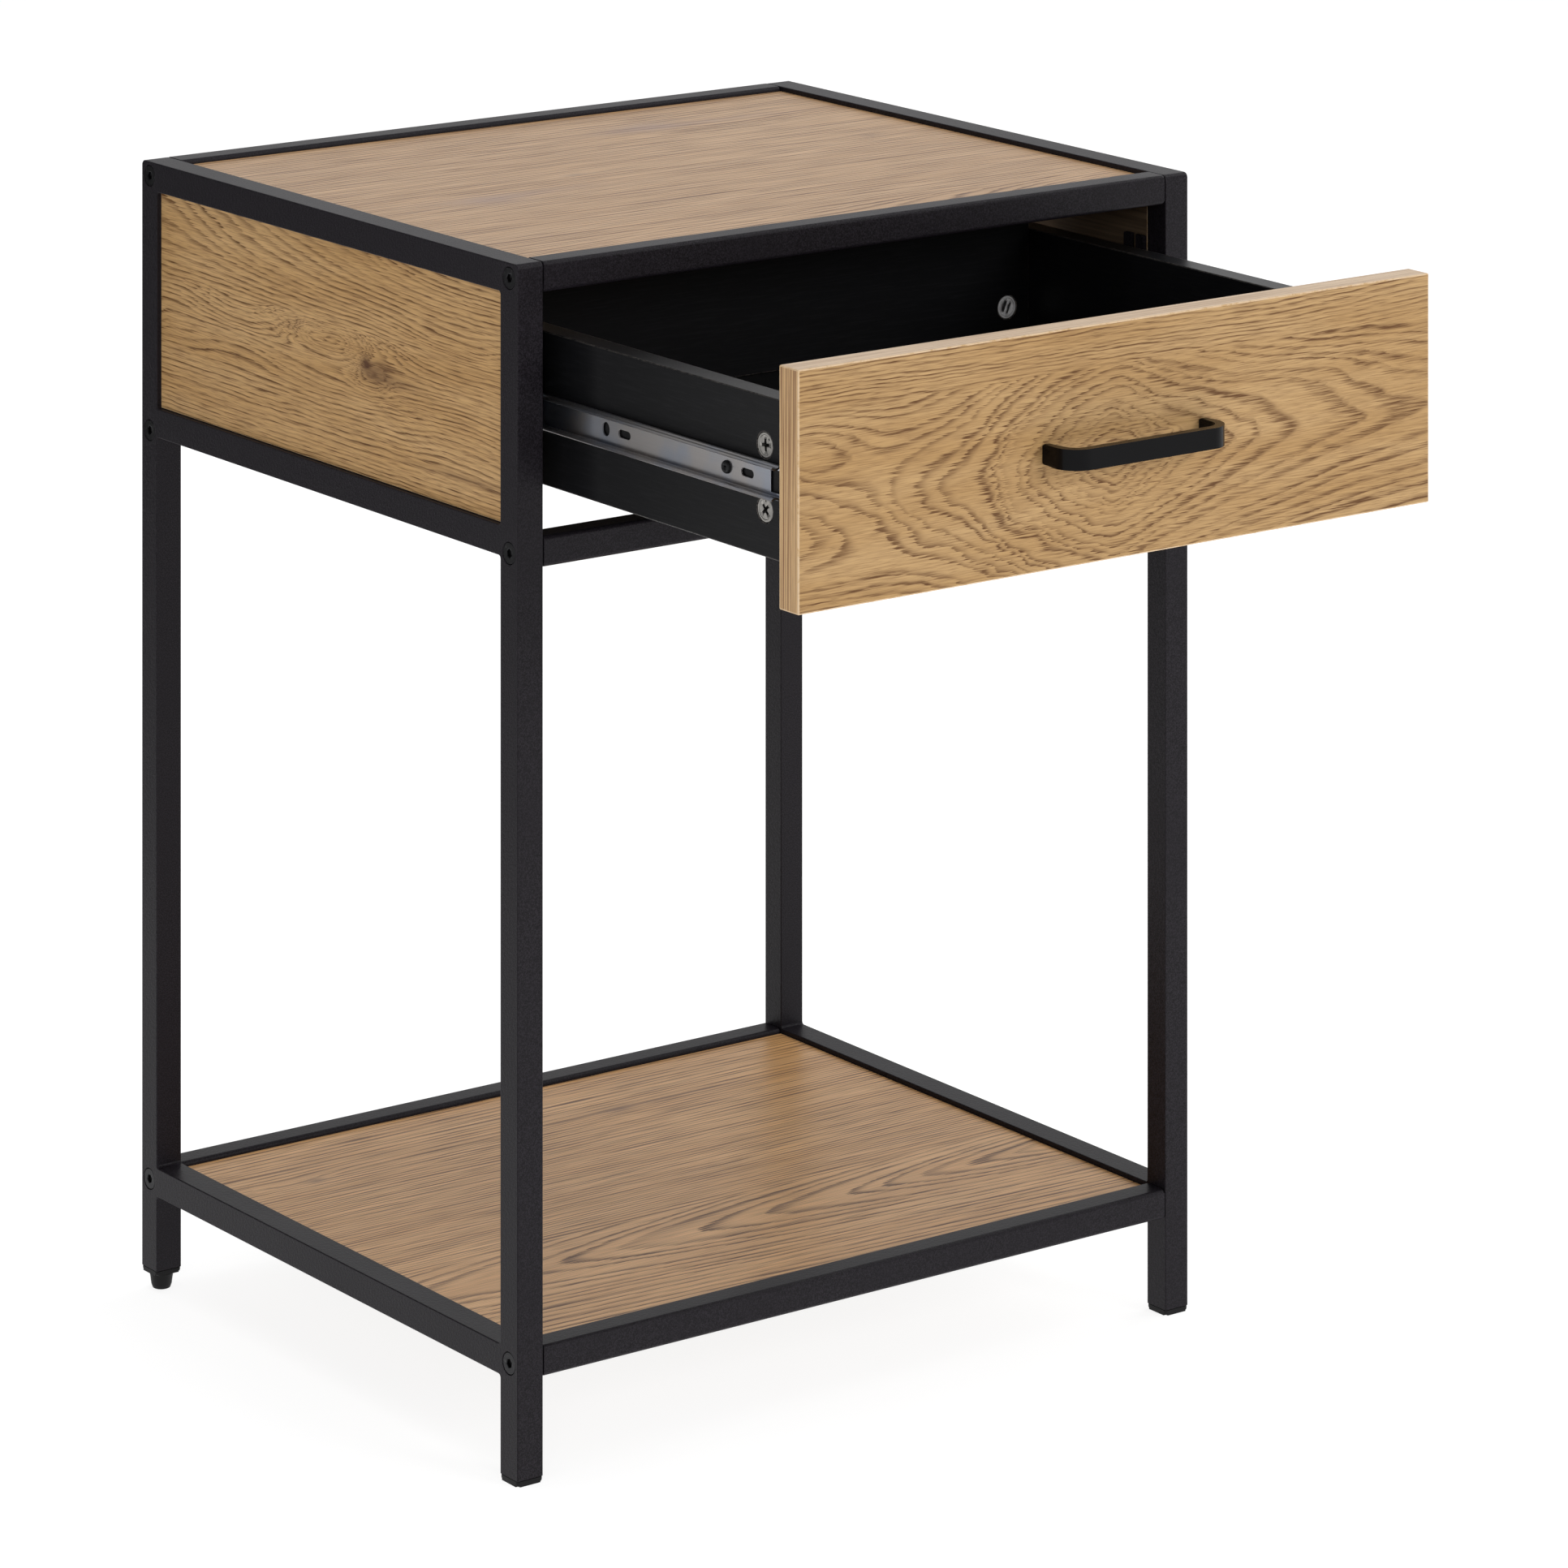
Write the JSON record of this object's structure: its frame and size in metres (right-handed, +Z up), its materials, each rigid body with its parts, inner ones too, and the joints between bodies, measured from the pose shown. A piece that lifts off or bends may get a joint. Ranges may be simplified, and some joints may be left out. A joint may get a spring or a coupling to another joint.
{
  "type": "side table with drawer",
  "caption": "Square steel-tube side table with wood boards set in its frame, a low open shelf and a drawer on ball-bearing runners.",
  "frame": {"origin": "floor level, midway between the left and right faces of the legs, and midway between the handle's face (drawer as stored) and the back of the table", "axes": "+X to the table's right seen from the front, -Y the way the drawer opens, +Z up"},
  "size_m": [0.42, 0.577, 0.59],
  "materials": {
    "frame_paint": "fine-textured satin black powder coat",
    "wood_board": "oak-grain laminate, satin",
    "black_board": "black laminate, satin",
    "black_steel": "black oxide",
    "black_plastic": "matt black",
    "zinc_steel": "bright zinc plate",
    "zinc_cast": "die-cast zinc, satin"
  },
  "bodies": {
    "table_frame": {"back_bottom_cross_rail": "frame_paint", "back_middle_cross_rail": "frame_paint", "back_panel": "wood_board", "back_top_cross_rail": "frame_paint", "front_bottom_cross_rail": "frame_paint", "front_middle_cross_rail": "frame_paint", "front_top_cross_rail": "frame_paint", "left_back_bottom_bolt": "black_steel", "left_back_bracket_screw": "zinc_steel", "left_back_leg_plug": "black_plastic", "left_back_middle_bolt": "black_steel", "left_back_top_bolt": "black_steel", "left_front_bottom_bolt": "black_steel", "left_front_bracket_screw": "zinc_steel", "left_front_leg_plug": "black_plastic", "left_front_middle_bolt": "black_steel", "left_front_top_bolt": "black_steel", "left_runner_cabinet_member": "zinc_steel", "left_side_frame": "frame_paint", "left_side_panel": "wood_board", "lower_shelf": "wood_board", "right_back_bottom_bolt": "black_steel", "right_back_bracket_screw": "zinc_steel", "right_back_leg_plug": "black_plastic", "right_back_middle_bolt": "black_steel", "right_back_top_bolt": "black_steel", "right_front_bottom_bolt": "black_steel", "right_front_bracket_screw": "zinc_steel", "right_front_leg_plug": "black_plastic", "right_front_middle_bolt": "black_steel", "right_front_top_bolt": "black_steel", "right_runner_cabinet_member": "zinc_steel", "right_side_frame": "frame_paint", "right_side_panel": "wood_board", "top_panel": "wood_board"},
    "drawer": {"drawer_back": "black_board", "drawer_bottom": "black_board", "drawer_front": "wood_board", "drawer_handle": "frame_paint", "drawer_left_side": "black_board", "drawer_right_side": "black_board", "left_back_cam": "zinc_cast", "left_back_runner_screw": "black_steel", "left_front_runner_screw": "black_steel", "left_handle_screw": "zinc_steel", "left_lower_front_cam": "zinc_cast", "left_runner_drawer_member": "zinc_steel", "left_upper_front_cam": "zinc_cast", "right_back_cam": "zinc_cast", "right_back_runner_screw": "black_steel", "right_front_runner_screw": "black_steel", "right_handle_screw": "zinc_steel", "right_lower_front_cam": "zinc_cast", "right_runner_drawer_member": "zinc_steel", "right_upper_front_cam": "zinc_cast"},
    "left_ball_cage": {"left_runner_ball_cage": "zinc_steel"},
    "left_foot": {"left_levelling_foot": "black_plastic"},
    "right_ball_cage": {"right_runner_ball_cage": "zinc_steel"},
    "right_foot": {"right_levelling_foot": "black_plastic"}
  },
  "joints": [
    {"name": "drawer_slide", "type": "slide", "parent": "table_frame", "child": "drawer", "axis": [0, -1, 0], "range_m": [-0.205, 0.007]},
    {"name": "left_ball_cage_slide", "type": "slide", "parent": "table_frame", "child": "left_ball_cage", "axis": [0, -1, 0], "range_m": [-0.1025, 0.0035]},
    {"name": "right_ball_cage_slide", "type": "slide", "parent": "table_frame", "child": "right_ball_cage", "axis": [0, -1, 0], "range_m": [-0.1025, 0.0035]},
    {"name": "left_foot_screw", "type": "slide", "parent": "table_frame", "child": "left_foot", "axis": [0, 0, -1], "range_m": [0, 0.01]},
    {"name": "right_foot_screw", "type": "slide", "parent": "table_frame", "child": "right_foot", "axis": [0, 0, -1], "range_m": [0, 0.01]}
  ],
  "couplings": [
    {"joint": "left_ball_cage_slide", "follows": "drawer_slide", "ratio": 0.5},
    {"joint": "right_ball_cage_slide", "follows": "drawer_slide", "ratio": 0.5}
  ]
}
